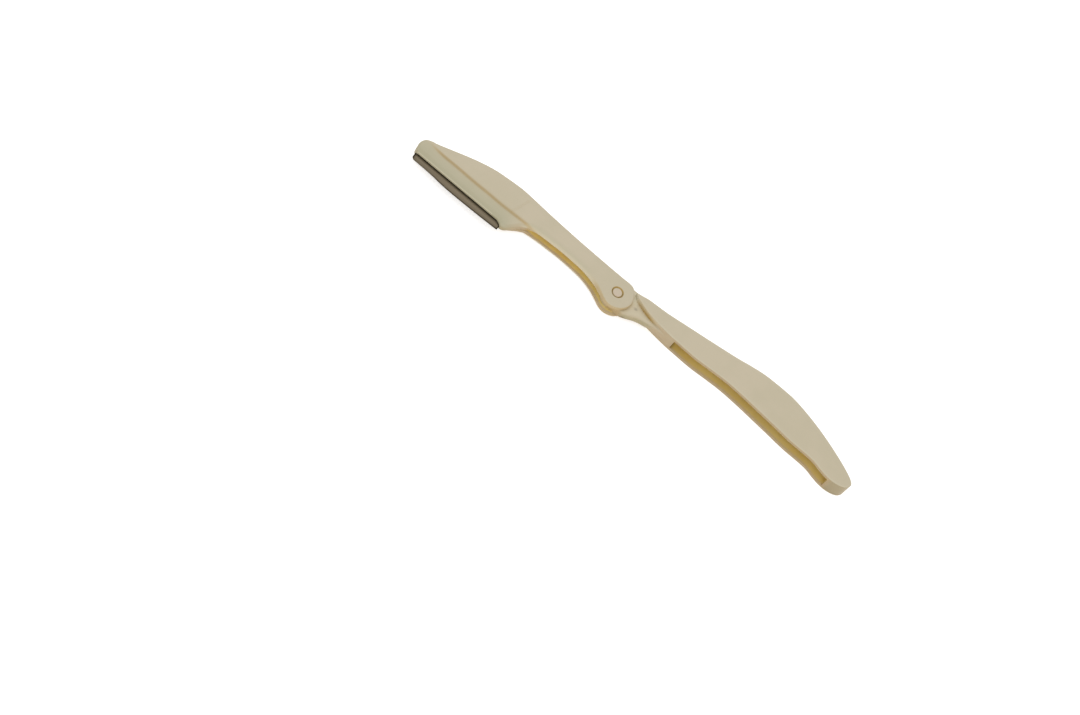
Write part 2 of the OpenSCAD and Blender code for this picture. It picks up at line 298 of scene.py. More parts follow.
# A procedural material: one method makes any node, its settings first, then values or links
class Look:
    def __init__(self, name):
        self.material = bpy.data.materials.new(name)
        self.material.use_nodes = True
        self.tree = self.material.node_tree
        self.shader = self.tree.nodes["Principled BSDF"]

    def feed(self, socket, value):
        if isinstance(value, Wire):
            self.tree.links.new(value.socket, socket)
        else:
            socket.default_value = value

    def node(self, kind, settings=None, *values, output=0, **named):
        node = self.tree.nodes.new(kind)
        for key, value in (settings or {}).items():
            setattr(node, key, value)
        for key, value in [*enumerate(values), *named.items()]:
            self.feed(node.inputs[key], value)
        return Wire(self, node.outputs[output])

    def attribute(self, name):
        return self.node("ShaderNodeAttribute", {"attribute_name": name}, output="Fac")

    # Noise in the piece's own place, stretched where the scales of the three directions differ
    def noise(self, scale, detail=3.0, rough=0.5, stretch=(1.0, 1.0, 1.0)):
        place = self.node("ShaderNodeTexCoord", output="Object")
        spread = self.node("ShaderNodeMapping", None, Vector=place, Scale=stretch)
        sockets = {"Vector": spread, "Scale": scale, "Detail": detail, "Roughness": rough}
        return self.node("ShaderNodeTexNoise", None, **sockets)

    def mix(self, share, one, two):
        node = self.tree.nodes.new("ShaderNodeMix")
        node.data_type = "RGBA"
        for socket, value in zip((node.inputs[0], node.inputs[6], node.inputs[7]), (share, one, two)):
            self.feed(socket, value)
        return Wire(self, node.outputs[2])

    def bump(self, height, distance, strength=1.0):
        return self.node("ShaderNodeBump", None, Strength=strength, Distance=distance, Height=height)

    def finish(self, **inputs):
        for key, value in inputs.items():
            self.feed(self.shader.inputs[key.replace("_", " ")], value)
        return self.material


# A colour written as it is seen, from 0 to 255, in the shader's own linear values
def seen(red, green, blue):
    share = np.array([red, green, blue]) / 255
    linear = np.where(share <= 0.04045, share / 12.92, ((share + 0.055) / 1.055)**2.4)
    return (*linear.tolist(), 1.0)


# Cream moulded plastic with slow mottling and a fine moulded grain. Values at its points tint it, mostly with
# painted light and shade: painted warm shade in creases, painted shade on surfaces that lean away and on
# lower faces, a paler tone as painted light on shaded faces, as painted highlights and along the faces'
# edges, and
# dark marks: the gate mark, and painted shade in corners and spots.
# A noise is given as its scale, detail and roughness.
plasticLook = {
    "plain": (195, 184, 157), "other": (199, 187, 161), "crease": (180, 150, 84), "shade": (168, 167, 138),
    "pale": (214, 206, 180), "blush": (182, 162, 126), "mark": (96, 86, 66), "gap": (30, 22, 10),
    "mottle": (90.0, 4.0, 0.55), "mottleRange": (0.35, 0.65), "mottleRough": 0.1,
    "grain": (2400.0, 2.0, 0.6), "grainRough": 0.08, "grainDepth": 0.000006, "roughness": 0.5,
}
# Inside tones: the mouth's and the golden ones are a painted glow, the corner's is painted shade
insideLook = {
    "mouth": (208, 190, 156), "corner": (104, 78, 30), "grainRough": 0.1,
    "slot": ((226, 205, 130), (220, 196, 116)), "hollow": ((242, 222, 142), (236, 212, 130)),
}


# Two near tones mixed by the mottling, then each tint over them by its value at the surface
def creamPlastic(name, plain="plain", other="other"):
    look = Look(name)
    mottle, grain = look.noise(*plasticLook["mottle"]), look.noise(*plasticLook["grain"])
    share = mottle.between(*plasticLook["mottleRange"])
    colour = look.mix(share, seen(*plasticLook[plain]), seen(*plasticLook[other]))
    for tint in ("blush", "shade", "pale", "crease", "mark"):
        colour = look.mix(look.attribute(tint), colour, seen(*plasticLook[tint]))
    rough = plasticLook["roughness"] + plasticLook["mottleRough"] * (mottle - 0.5)
    rough = rough + plasticLook["grainRough"] * (grain - 0.5)
    return look.finish(Base_Color=colour, Roughness=rough, Normal=look.bump(grain, plasticLook["grainDepth"]))


# The same plastic inside a slot or hollow, painted with the light that bounces and shines through in it: from
# the mouth's tone to a golden glow as it gets deeper, with a dark corner of painted shade
def goldenInside(name, place):
    look = Look(name)
    mottle, grain = look.noise(*plasticLook["mottle"]), look.noise(*plasticLook["grain"])
    tones = [seen(*tone) for tone in insideLook[place]]
    deep = look.mix(mottle.between(*plasticLook["mottleRange"]), *tones)
    colour = look.mix(look.attribute("depth").between(0.0, 1.0), seen(*insideLook["mouth"]), deep)
    colour = look.mix(look.attribute("mark"), colour, seen(*insideLook["corner"]))
    rough = plasticLook["roughness"] + insideLook["grainRough"] * (grain - 0.5)
    return look.finish(Base_Color=colour, Roughness=rough, Normal=look.bump(grain, plasticLook["grainDepth"]))


handlePlastic = creamPlastic("handlePlastic")
armPlastic = creamPlastic("armPlastic")
# The pin hole's chamfers, in the dark crease and mark tones: painted shade in the gap round the pin
ringPlastic = creamPlastic("ringPlastic", "crease", "mark")
# The blade's recess, near black: painted shade in the groove
gapPlastic = creamPlastic("gapPlastic", "gap", "gap")
slotPlastic = goldenInside("slotPlastic", "slot")
hollowPlastic = goldenInside("hollowPlastic", "hollow")
print("plastics made")

# The handle: two flat sides joined along the spine, a slot open below, and the tongue of the hinge. Places
# are in millimetres from the pivot. Here and below, a pair named Over is a stretch in which something comes,
# and a pair named End is one in which it goes again.
handle = {
    "tailReach": 87.8, "spineRise": 10.3, "tailDrop": 4.5, "thickness": 5.8, "edge": 0.4, "lowerEdge": 0.16,
    "columns": 300, "rows": [10], "slotStart": 21.8, "slotWidth": 4.0, "tailSolid": 6.5, "spineWall": 2.4,
    "tongueRadius": 4.1, "tongueRound": 0.3, "tongueThickness": 2.8, "tongueEdge": 0.2, "tongueTop": 5.3,
    "tongueColumns": 200, "tongueRows": [14], "tongueEdgeRows": 14,
    "tongueRoot": 0.9, "tongueSoft": 0.9, "softOver": (2.5, 5.5),
    "tongueLower": 0.45, "lowerOver": (3, 5), "lowerEnd": (15, 6), "sinkOver": (8.8, 13.8), "sinkDepth": 1.2,
    "shoulder": [[6.3, 31], [6.1, 36], [6.35, 41.5]], "foldAngle": 175.5, "foldGap": 0.3,
    "stopAngle": 64.0, "stopFoot": 0.15,
    "gateMark": (7.2, 0.2), "gateRadius": 0.32, "gateStretch": 1.8, "gateDepth": 0.12,
    "spineShares": [
        [0.075, 0.447], [0.10, 0.488], [0.17, 0.522], [0.24, 0.597], [0.34, 0.708], [0.44, 0.828],
        [0.51, 0.938], [0.56, 0.993], [0.61, 1], [0.68, 0.973], [0.75, 0.845], [0.82, 0.665],
        [0.89, 0.435], [0.955, 0.18], [0.99, -0.005],
    ],
    "tailShares": [
        [1, 0.35], [0.987, 0.8], [0.955, 1.03], [0.92, 1.04], [0.885, 0.9], [0.855, 0.735],
        [0.82, 0.665], [0.75, 0.62], [0.68, 0.475], [0.61, 0.34], [0.54, 0.21], [0.47, 0.13],
        [0.41, 0.165],
    ],
    "tongueShares": [
        [0, 0.97], [0.185, 0.925], [0.28, 0.77], [0.415, 0.43], [0.55, 0.29], [0.70, 0.19], [0.865, 0.135],
    ],
}
# The arm: hub, hollow neck and head plate, with the thin strip that holds the blade below the crease
arm = {
    "headReach": 72.1, "headRise": 7.35, "heelDrop": 6.75, "heelLength": 11.2, "thickness": 5.2, "edge": 0.4,
    "columns": 340, "crowd": 0.6, "rows": [14, 10, 14], "tipStart": 0.02,
    "hubRadius": 5.35, "hubWallRadius": 4.25, "hubLowAngle": -125, "backAngle": 95, "hubPoints": (60, 50),
    "hubSwell": 0.35, "swellAngle": 61, "swellWidth": 16,
    "creaseStep": 0.52, "stepOver": (-70, -63), "stripEnd": (-28, -32), "creaseWidth": 0.5,
    "creaseLower": 0.3, "lipThickness": 2.2, "lipStart": 0.6, "lipHeelShare": 0.815, "bladeTipShare": 0.985,
    "lipEdge": 0.12, "lipEdgeOver": (0.4, 2.4), "backEdge": 0.6, "backEdgeOver": (3.5, 5.0),
    "upperFall": 0.85, "stripLeast": 1,
    # The rails beside the crease: share of the width below one, greatest width that counts, share above it
    "railShares": [(0.3, 2.5, 0.3), (0.5, 4.2, 0.25)],
    "neckWall": 1.5, "cheekGap": 3.0, "hollowNarrow": 0.85, "hollowTaper": 6.5,
    "pinHole": 1.55, "mouth": 0.36,
    "grooveHalf": 0.45, "grooveDepth": 1.5, "grooveTip": 0.1, "grooveBack": 1.2, "heelGroove": 0.45,
    "grooveEnd": 3.8, "grooveBelow": 4,
    "mouldLine": [[-38.5, -1.2], [-36.7, 5.2]], "mouldDepth": 0.08, "mouldWidth": 0.13, "mouldApart": 0.22,
    "backShares": [
        [0.08, 0.742], [0.17, 0.775], [0.25, 0.81], [0.33, 0.858], [0.42, 0.924], [0.48, 0.978],
        [0.54, 1.028], [0.58, 1.028], [0.64, 0.988], [0.70, 0.914], [0.76, 0.765], [0.82, 0.568],
        [0.88, 0.345], [0.92, 0.197], [0.945, 0.112],
    ],
    "creaseShares": [
        [0.95, 0], [0.942, 0.045], [0.89, 0.085], [0.81, 0.10], [0.73, 0.135], [0.65, 0.145],
        [0.59, 0.165], [0.53, 0.155], [0.465, 0.14],
    ],
    "neckShares": [
        [0.42, 0.155], [0.375, 0.13], [0.33, 0.118], [0.29, 0.105], [0.25, 0.115], [0.21, 0.14],
        [0.165, 0.185], [0.125, 0.28], [0.083, 0.43],
    ],
    "tipShares": [
        [0.90, -0.24], [0.957, -0.1], [0.98, 0.01], [0.993, 0.17], [0.9975, 0.34], [0.9935, 0.54],
        [0.985, 0.67],
    ],
    "heelShares": [
        [0.175, 0.825], [0.27, 0.895], [0.35, 0.99], [0.465, 0.94], [0.58, 0.755], [0.74, 0.49],
        [0.87, 0.32], [1, 0.2],
    ],
    "hollowEnds": [-34.6, -34.2, -33.8, -33.4, -32.9, -32.3, -31.5, -30.6, -29.6],
    # Rounding of the lower edge along the arm: place, reach across the face, fall
    "lowerRounding": [
        [-73, 0.12, 0.12], [-42, 0.15, 0.15], [-40, 0.5, 0.4], [-38, 0.9, 0.6], [-35.5, 1.2, 0.65],
        [-31, 1.7, 0.75], [-12, 1.7, 0.75], [-6.5, 1.4, 0.75], [-3, 0.9, 0.6], [0, 0.45, 0.35],
        [6, 0.45, 0.35],
    ],
}
blade = {
    "length": 32.3, "show": 2.28, "tang": 2.6, "thickness": 0.3, "bevel": 0.55, "land": 0.04, "slope": 1.3,
    "chamfer": 1.2, "inset": 0.1, "pastLip": 3.8, "darkBand": 0.1, "endBands": (0.55, 0.3),
    "edgeBand": 0.42, "edgeFade": 0.15, "edgeLeast": 0.3, "edgeOver": (6, 11),
    "columns": 220, "crowd": 0.6, "rows": [6, 8, 6, 4], "rimRows": 4, "rim": 0.1,
    # How far the cutting edge stands out below a straight line: share of the length, distance
    "belly": [
        [0, 0], [0.14, 0.02], [0.25, 0.14], [0.36, 0.44], [0.5, 0.55], [0.75, 0.42], [0.92, 0.22], [1, 0.1],
    ],
}


# Shares of two sizes as points: along the razor and across it, from the pivot
def sharePoints(shares, along, across):
    return np.array(shares) * [along, across]


spineLine = sharePoints(handle["spineShares"], handle["tailReach"], handle["spineRise"])
backLine = sharePoints(arm["backShares"], -arm["headReach"], arm["headRise"])
neckLine = sharePoints(arm["neckShares"], -arm["headReach"], -arm["heelDrop"])
fold = math.radians(handle["foldAngle"])
turn = np.array([[math.cos(fold), math.sin(fold)], [-math.sin(fold), math.cos(fold)]])
neckRoom = neckLine @ turn + [0, handle["foldGap"]]
handleLoop = smoothLoop(np.vstack([
    spineLine, sharePoints(handle["tailShares"], handle["tailReach"], -handle["tailDrop"]), neckRoom,
    *[arcPoints(radius, angle, angle, 1) for radius, angle in handle["shoulder"]],
]))
handleLoop = np.minimum(handleLoop, [handle["tailReach"], handle["spineRise"]])
handleLow, handleHigh = splitLoop(handleLoop)


# The handle's shell: its half thickness everywhere, less a quarter of an ellipse near its outline, with the
# slot cut out of it and the tongue joined to it
def makeHandle():
    half, edge = handle["thickness"] / 2, handle["edge"]
    x = stations(handleLoop[:, 0].min(), handleLoop[:, 0].max(), handle["columns"])
    y = rowsAcross(heightOf(handleLow, x), heightOf(handleHigh, x), [], handle["rows"], edge)
    x = np.repeat(x[:, None], y.shape[1], 1)
    nearLow = y - heightOf(handleLow, x) < heightOf(handleHigh, x) - y
    z = half - edgeDrop(distanceTo(x, y, handleLoop), np.where(nearLow, handle["lowerEdge"], edge))
    body = makeMesh("handle_shell", fieldShell(x, y, z), handlePlastic)
    roof = movedLeft(smoothLine(spineLine, steps=8), -handle["spineWall"])
    ends = [handle["slotStart"]], handle["tailReach"] - handle["tailSolid"]
    slot = cavity(*ends, handleLow, roof, handle["slotWidth"] / 2)
    combine(body, [makeMesh("slot_cutter", slot, slotPlastic)])
    combine(body, [makeTongue()], "UNION")
    return body


# How far a point of the tongue lies from its gate mark, which is longer along the razor
def fromGate(x, y):
    return np.hypot((x - handle["gateMark"][0]) / handle["gateStretch"], y - handle["gateMark"][1])


# The tongue: a round end about the pin, a stop for the hub's back, and a root inside the handle. It is half
# its thickness high, less a quarter of an ellipse near its outline and a hump at the gate mark. Its lower
# edge is softer beyond the hub and hangs a little lower there.
def makeTongue():
    radius, edge, half = handle["tongueRadius"], handle["tongueEdge"], handle["tongueThickness"] / 2
    lowLine = smoothLine(sharePoints(handle["tongueShares"], handle["slotStart"], -radius))
    x = stations(-radius, handle["tongueRoot"] * handle["slotStart"], handle["tongueColumns"])
    circle = np.sqrt(np.maximum(radius**2 - x**2, 0))
    roundEnd = x < handle["tongueRound"] * radius
    hang = handle["tongueLower"] * rise(x, *handle["lowerOver"]) * rise(x, *handle["lowerEnd"])
    low = np.where(roundEnd, -circle, heightOf(lowLine, x) - hang)
    slope = math.tan(math.radians(handle["stopAngle"]))
    stop = np.clip((x - handle["stopFoot"]) * slope, 0, handle["tongueTop"])
    sink = rise(x, *handle["sinkOver"])
    buried = heightOf(handleHigh, np.maximum(x, handle["sinkOver"][0])) - handle["sinkDepth"]
    high = np.where(roundEnd, circle, stop) * (1 - sink) + buried * sink
    loop = np.vstack([np.column_stack([x, low]), np.column_stack([x, high])[::-1]])
    soft = (handle["tongueSoft"] - edge) * rise(x, *handle["softOver"])
    y = rowsAcross(low, high, [], handle["tongueRows"], handle["tongueSoft"], handle["tongueEdgeRows"])
    nearLow = y - low[:, None] < high[:, None] - y
    edge = np.where(nearLow, edge + soft[:, None], edge)
    x = np.repeat(x[:, None], y.shape[1], 1)
    mark = handle["gateDepth"] * hump(fromGate(x, y), handle["gateRadius"])
    z = half - edgeDrop(distanceTo(x, y, loop), edge) - mark
    return makeMesh("tongue", fieldShell(x, y, z), handlePlastic)


# Strengths of the handle's tints, from 0 to 1, and their places, widths and heights in millimetres
handleTint = {
    "footWidth": 0.3, "footFade": 0.7, "footLeast": 0.45, "footPlace": 11.5, "footSpread": 3.5,
    "footEnd": (16, 12), "footSink": 0.4, "corner": (5.3, 3.2), "cornerWidth": 1.6, "cornerClear": 0.6,
    "wall": 0.6, "wallReach": 0.1, "wallOver": (0.5, 1.0), "wallEnd": (17, 13), "faceClear": 0.1,
    "hub": 0.3, "hubWidth": 0.7, "hubClear": 0.1, "gate": 0.6, "gateSink": 0.5,
    "edgePale": 0.25, "edgePalePlace": 0.25, "edgePaleWidth": 0.2, "edgePaleSink": 0.3,
    "tonguePale": 0.5, "tongueLowShade": 0.5, "tongueEnd": (15, 12), "tongueClear": 0.05,
    "oliveFacing": (0.55, 0.95), "oliveOver": (3, 6), "oliveShade": 0.7, "oliveCrease": 0.12,
    "inHubEnd": (3.4, 1.4), "inHubCrease": 0.3, "inHubPale": 0.5,
    "lighter": 0.55, "lighterOver": (9, 13), "lighterEnd": (23, 20),
    "tail": 0.45, "tailOver": (81, 83), "tailMark": 0.3,
    "gapShadow": 0.8, "gapShadowPlace": (5.4, -0.3), "gapShadowSize": (0.8, 0.45),
    "slotCorner": 0.75, "slotCornerWidth": 0.5, "slotCornerAbove": 0.25, "slotCornerTop": 1.5,
    "slotCornerRim": 0.05, "slotDepth": 1.2,
}


# Each tint is a hump or a rise in the distance from a line, an edge or a place. Most are painted light and
# shade:
# painted warm shade at the foot of the step and round the hub, painted light on the shaded wall above the
# foot, in the crevice by the shoulder and on the tongue's face, painted olive shade on the tongue's lower
# face, painted shade on lower faces, at the tail, in the slot's corner and in a spot by the hub, and a
# painted golden glow that grows with depth in the slot. The gate mark is the part's own dark mark, and a
# paler band runs just inside the outline.
def tintHandle(piece):
    tint = handleTint
    x, y, z = pointsOf(piece)
    height, low = np.abs(z), facingLow(piece)
    half, tongueHalf = handle["thickness"] / 2, handle["tongueThickness"] / 2
    step = distanceTo(x, y, smoothLine(neckRoom), closed=False)
    # Painted warm shade in the corner at the foot of the step
    along = tint["footLeast"] + (1 - tint["footLeast"]) * hump(x - tint["footPlace"], tint["footSpread"])
    foot = hump(step, tint["footWidth"]) * (1 - tint["footFade"] * rise(height, tongueHalf, half))
    foot = foot * along * rise(x, *tint["footEnd"]) * (height > tongueHalf - tint["footSink"])
    # Painted light that lifts the shade in the crevice between hub and shoulder
    corner = hump(np.hypot(x - tint["corner"][0], y - tint["corner"][1]), tint["cornerWidth"])
    underFace = height < half - tint["faceClear"]
    # Painted light on the step's shaded wall above its foot
    wall = tint["wall"] * (step < tint["wallReach"]) * underFace
    wall = wall * rise(height - tongueHalf, *tint["wallOver"]) * rise(x, *tint["wallEnd"])
    # Painted warm shade on the tongue along the hub's edge
    hub = tint["hub"] * hump(np.maximum(np.hypot(x, y) - arm["hubRadius"], 0), tint["hubWidth"])
    hub = hub * (height < tongueHalf + tint["hubClear"]) * (x > 0)
    gate = tint["gate"] * hump(fromGate(x, y), handle["gateRadius"]) * (height < half - tint["gateSink"])
    # A paler band just inside the outline, near the top of the faces
    edgePale = tint["edgePale"] * hump(distanceTo(x, y, handleLoop) - tint["edgePalePlace"], tint["edgePaleWidth"])
    edgePale = edgePale * (height > half - tint["edgePaleSink"])
    onTongue = (height < tongueHalf + tint["tongueClear"]) * rise(x, *tint["tongueEnd"])
    # Painted olive shade on the tongue's lower face
    olive = rise(low, *tint["oliveFacing"]) * onTongue
    # Painted warm shade and painted light on the tongue's edge inside the hub
    inHub = olive * rise(x, *tint["inHubEnd"])
    # Less of the painted shade on lower faces along a stretch of the handle
    lighter = 1 - tint["lighter"] * rise(x, *tint["lighterOver"]) * rise(x, *tint["lighterEnd"])
    # Painted shade on the lower faces at the tail's end
    tail = tint["tail"] * low * rise(x, *tint["tailOver"])
    # A painted shadow in a small spot on the tongue's lower face, where it meets the hub
    fromGapShadow = (np.stack([x, z], 1) - tint["gapShadowPlace"]) / tint["gapShadowSize"]
    gapShadow = tint["gapShadow"] * hump(np.linalg.norm(fromGapShadow, axis=1), 1) * low * onTongue
    # Height above the lower outline, which sets the painted golden glow by depth in the slot
    above = y - heightOf(handleLow, x)
    # Painted shade in the slot's corner at its start
    slotCorner = tint["slotCorner"] * hump(x - handle["slotStart"], tint["slotCornerWidth"])
    slotCorner = slotCorner * (above > tint["slotCornerAbove"]) * (y < tint["slotCornerTop"])
    slotCorner = slotCorner * (height < handle["slotWidth"] / 2 + tint["slotCornerRim"])
    creases = foot * (1 - tint["cornerClear"] * corner) + hub * (1 - corner)
    # Painted light on the tongue's shaded face, and on the crevice, the wall and inside the hub
    pales = edgePale + wall + tint["tonguePale"] * onTongue * (1 - low) + corner * underFace
    # Painted shade on faces that face down, and half of it on the tongue beyond the hub
    blush = low * (1 - onTongue) + tint["tongueLowShade"] * onTongue * (x > tint["oliveOver"][0])
    setValues(
        piece,
        crease=creases + tint["inHubCrease"] * inHub + tint["oliveCrease"] * olive,
        mark=gate + slotCorner + tint["tailMark"] * tail + gapShadow,
        pale=pales + tint["inHubPale"] * inHub,
        shade=tint["oliveShade"] * olive * rise(x, *tint["oliveOver"]) + tail,
        blush=blush * lighter,
        depth=above / tint["slotDepth"],
    )


handleShell = makeHandle()
shadeSmooth(handleShell)
tintHandle(handleShell)
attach(handleShell, "grip")
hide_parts("handle")
print("handle made:", len(handleShell.data.polygons), "faces")

# The lip is straight, at the blade's slope, and ends at the heel
slope = math.radians(blade["slope"])
lipWay = np.array([math.cos(slope), -math.sin(slope)])
lipUp = np.array([math.sin(slope), math.cos(slope)])
lipLength = blade["inset"] + blade["length"] - blade["pastLip"]
lipHeel = np.array([
    lipLength * lipWay[0] - arm["bladeTipShare"] * arm["headReach"], -arm["lipHeelShare"] * arm["heelDrop"],
])
lipTip = lipHeel - (lipLength - arm["lipStart"]) * lipWay
heelLine = sharePoints(arm["heelShares"], arm["heelLength"], -arm["heelDrop"]) + [lipHeel[0], 0]
tipLine = sharePoints(arm["tipShares"], -arm["headReach"], -arm["heelDrop"])
creaseLine = smoothLine(sharePoints(arm["creaseShares"], -arm["headReach"], -arm["heelDrop"]))
creaseLine = creaseLine - [0, arm["creaseLower"]]
armLow = np.vstack([
    smoothLine(tipLine[4:]), [lipTip, lipHeel], smoothLine(np.vstack([heelLine, neckLine[1:]])),
    arcPoints(arm["hubRadius"], arm["hubLowAngle"], 0, arm["hubPoints"][0]),
])
hubAngles = np.linspace(arm["backAngle"], 0, arm["hubPoints"][1])
hubSwell = arm["hubSwell"] * hump(hubAngles - arm["swellAngle"], arm["swellWidth"])
hubBack = (arm["hubRadius"] + hubSwell)[:, None] * arcPoints(1, arm["backAngle"], 0, len(hubAngles))
armHigh = np.vstack([smoothLine(tipLine[1:5][::-1]), smoothLine(backLine[::-1]), hubBack])
armLoop = np.vstack([armLow, armHigh[::-1][1:-1]])


# The height of the lip's line at any x
def lipHeight(x):
    return lipHeel[1] + (x - lipHeel[0]) * lipWay[1] / lipWay[0]


# The arm's shell: its half thickness, less the strip's step and slope below the crease, less the rounding of
# its edges, less the mould line's two thin grooves
def makeArm():
    (mouldFirst, _), (mouldLast, _) = arm["mouldLine"]
    beside = 0.5
    nearMould = np.linspace(mouldFirst - beside, mouldLast + beside, 60)
    tip = armLow[:, 0].min() + arm["tipStart"]
    x = stations(tip, arm["hubRadius"], arm["columns"], arm["crowd"], nearMould)
    low, high = heightOf(armLow, x), heightOf(armHigh, x)
    crease = np.maximum(heightOf(creaseLine, x), low)
    band, width = arm["creaseWidth"] / 2, high - low
    rails = [low]
    for side, (share, widest, spare) in zip((-band, band), arm["railShares"]):
        rail = np.maximum(crease + side, low + share * np.minimum(width, widest))
        rails.append(np.clip(rail, rails[-1], high - spare * width))
    y = rowsAcross(low, high, rails[1:], arm["rows"], arm["edge"])
    low, high, crease, x = (np.repeat(values[:, None], y.shape[1], 1) for values in (low, high, crease, x))

    # The strip steps down at the crease and slopes to its lip; the step fades at the tip, both in the neck
    half, lip = arm["thickness"] / 2, arm["lipThickness"] / 2
    aboveLip = y - lipHeight(x)
    step = arm["creaseStep"] * rise(x, *arm["stepOver"])
    plate = rise(y, crease - band, crease + band)
    lean = np.clip((crease - y) / np.maximum(crease - lipHeight(x), arm["stripLeast"]), 0, 1)
    below = (step * (1 - plate) + (half - lip - step) * lean) * rise(x, *arm["stripEnd"])

    # Edges: crisp along the back and the lip, a wide soft rounding under the neck
    place, reach, fall = np.array(arm["lowerRounding"]).T
    nearLow = y - low < high - y
    crisp = arm["lipEdge"] + (arm["edge"] - arm["lipEdge"]) * rise(aboveLip, *arm["lipEdgeOver"])
    atHead = x < lipHeel[0]
    upper = arm["edge"] * (1 + arm["backEdge"] * rise(x, *arm["backEdgeOver"]))
    reach = np.where(atHead, crisp, np.where(nearLow, np.interp(x, place, reach), upper))
    fall = np.where(atHead, crisp, np.where(nearLow, np.interp(x, place, fall), arm["upperFall"] * upper))
    rounding = edgeDrop(distanceTo(x, y, armLoop), reach, fall)
    line = arm["mouldDepth"] * nearMouldLine(x, y) * plate
    return makeMesh("arm_shell", fieldShell(x, y, half - below - rounding - line), armPlastic)


# The mould line is two thin lines, one on each side of where two halves of the mould met
def nearMouldLine(x, y):
    away = distanceTo(x, y, np.array(arm["mouldLine"]), closed=False)
    return hump(away - arm["mouldApart"], arm["mouldWidth"])


# The hollow of neck and hub, open below, which the tongue lies in when the razor is folded: from the lower
# outline up to a line that runs a wall's thickness inside the back, then round the hub to its stop
def makeHollow():
    stop, past, short = np.radians(handle["stopAngle"]), 1.0, 0.3
    outside, under = arm["hubRadius"] + past, -0.5 * arm["hubRadius"]
    inner = movedLeft(smoothLine(backLine, steps=8), arm["neckWall"])
    roofLine = np.vstack([
        inner, arcPoints(arm["hubWallRadius"], arm["backAngle"], handle["stopAngle"], 12),
        [[outside * np.cos(stop), outside * np.sin(stop)], [outside, arm["hubRadius"]]],
    ])
    mouth = np.vstack([armLow[armLow[:, 0] < arm["hubRadius"] - short], [[outside, under]]])
    width = arm["cheekGap"] / 2, arm["hollowNarrow"], arm["hollowTaper"]
    shape = cavity(arm["hollowEnds"], outside, mouth, roofLine, *width)
    return makeMesh("hollow_cutter", shape, hollowPlastic)


# Running holes for the pin, with a small chamfer of 45 degrees at each mouth that opens past the face
def makePinHole():
    radius, top, mouth, past = arm["pinHole"], arm["thickness"] / 2, arm["mouth"], 1.0
    radii = [radius + mouth + past, radius, radius, radius + mouth + past]
    heights = [-top - past, mouth - top, top - mouth, top + past]
    return makeMesh("hole_cutter", lathe(radii, heights), ringPlastic)


# The recess that the blade stands in, a plate of one outline: along the lip, and shallower under the heel
def makeRecess():
    tip, back = lipTip + arm["grooveTip"] * lipWay, lipHeel - arm["grooveBack"] * lipWay
    depth, below = arm["grooveDepth"] * lipUp, -arm["grooveBelow"] * lipUp
    underHeel = smoothLine(np.vstack([lipHeel, heelLine[:3]])) + [0, arm["heelGroove"]]
    underHeel = underHeel[underHeel[:, 0] < lipHeel[0] + arm["grooveEnd"]]
    outline = np.vstack([[tip + below, tip + depth, back + depth], underHeel, [underHeel[-1] + below]])
    # Its faces take the near-black gap tone, painted shade in the groove
    return makeMesh("recess_cutter", prism(outline, -arm["grooveHalf"], arm["grooveHalf"]), gapPlastic)


# Strengths of the arm's tints, from 0 to 1, and their places, widths and heights in millimetres
armTint = {
    "line": 0.55, "lineMark": 0.13, "lineShift": 0.05, "lineWidth": 0.36, "lineRise": 1.0,
    "lineOver": (-70.5, -65), "lineEnd": (-26.5, -32.5), "markOver": (-72, -62), "markEnd": (-33, -38),
    "mould": 0.1, "mouldRise": 2.3, "shade": (0.25, 0.7), "shadeOver": (0, 0.3), "shadeEnd": (-33, -40),
    "shadeLeast": 0.5,
    "soft": 0.35, "softAbove": 0.6, "softWidth": 0.9, "softOver": (-36, -31), "softEnd": (-7, -12),
    "softRise": 1.55, "lip": 0.65, "lipAbove": 0.08, "lipWidth": 0.14,
    "gold": 0.55, "goldWidth": 0.9, "goldOver": (-9, -5), "goldRise": 1.45, "goldSink": 0.05,
    "rim": 0.25, "rimWidth": 0.3, "rimStart": 1, "rimTop": 2.5,
    "underTop": 1.5, "cheekOver": (-35, -32), "cheekRim": 0.05,
    "depthOver": (0.4, 1.0), "innerOver": (-34.3, -30.3), "inner": (0.65, 1.0), "innerEnd": (-6, -11),
}


